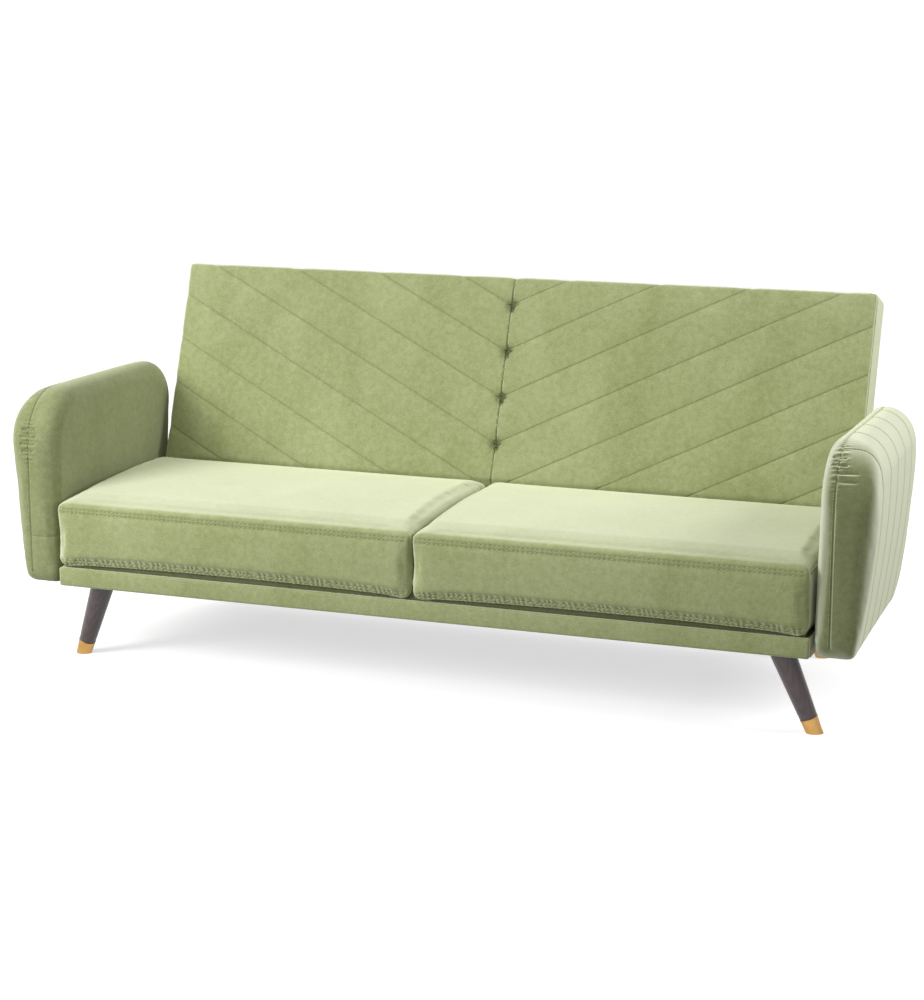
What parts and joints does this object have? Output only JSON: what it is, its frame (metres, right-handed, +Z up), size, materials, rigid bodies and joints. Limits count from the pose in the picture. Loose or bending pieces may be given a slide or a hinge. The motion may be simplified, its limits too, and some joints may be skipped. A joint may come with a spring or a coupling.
{
  "type": "sofa bed",
  "caption": "Click-clack sofa bed with padded arms, splayed legs, a lifting seat and a backrest that folds down flat.",
  "frame": {"origin": "on the floor under the centre of the bounding box", "axes": "+X to the right of someone facing the sofa, -Y to the front, +Z up"},
  "size_m": [2.0678, 0.7957, 0.8836],
  "materials": {
    "velvet": "matte velvet pile, olive green",
    "dust_cloth": "black non-woven cloth",
    "pine": "sawn softwood",
    "plywood": "raw plywood",
    "dark_wood": "satin dark walnut stain",
    "brass": "brushed brass-coloured metal",
    "steel": "zinc-plated steel"
  },
  "bodies": {
    "base": {"cross_rail": "pine", "dust_cover": "dust_cloth", "front_rail": "pine", "front_rail_cover": "velvet", "left_arm_bolt_front": "steel", "left_arm_bolt_rear": "steel", "left_arm_frame": "plywood", "left_arm_pad": "velvet", "left_front_corner_block": "pine", "left_front_hanger_bolt": "steel", "left_front_leg": "dark_wood", "left_front_leg_cap": "brass", "left_front_leg_plate": "steel", "left_hinge_base_plate": "steel", "left_hinge_pin": "steel", "left_rail_cover": "velvet", "left_rear_corner_block": "pine", "left_rear_hanger_bolt": "steel", "left_rear_leg": "dark_wood", "left_rear_leg_cap": "brass", "left_rear_leg_plate": "steel", "left_side_rail": "pine", "rear_rail": "pine", "rear_rail_cover": "velvet", "right_arm_bolt_front": "steel", "right_arm_bolt_rear": "steel", "right_arm_frame": "plywood", "right_arm_pad": "velvet", "right_front_corner_block": "pine", "right_front_hanger_bolt": "steel", "right_front_leg": "dark_wood", "right_front_leg_cap": "brass", "right_front_leg_plate": "steel", "right_hinge_base_plate": "steel", "right_hinge_pin": "steel", "right_rail_cover": "velvet", "right_rear_corner_block": "pine", "right_rear_hanger_bolt": "steel", "right_rear_leg": "dark_wood", "right_rear_leg_cap": "brass", "right_rear_leg_plate": "steel", "right_side_rail": "pine"},
    "seat": {"left_seat_cushion": "velvet", "left_seat_hinge_arm": "steel", "right_seat_cushion": "velvet", "right_seat_hinge_arm": "steel", "seat_deck": "plywood", "seat_frame_front": "pine", "seat_frame_left": "pine", "seat_frame_rear": "pine", "seat_frame_right": "pine"},
    "backrest": {"back_frame_bottom": "pine", "back_frame_left": "pine", "back_frame_right": "pine", "back_frame_top": "pine", "back_pad": "velvet", "back_rear_cover": "velvet", "left_back_hinge_arm": "steel", "right_back_hinge_arm": "steel"}
  },
  "joints": [
    {"name": "seat_lift", "type": "hinge", "parent": "base", "child": "seat", "pos_m": [0, 0.14931, 0.385], "axis": [-1, 0, 0], "range_deg": [0, 20]},
    {"name": "back_recline", "type": "hinge", "parent": "base", "child": "backrest", "pos_m": [0, 0.14931, 0.385], "axis": [-1, 0, 0], "range_deg": [-8, 70.6]}
  ]
}
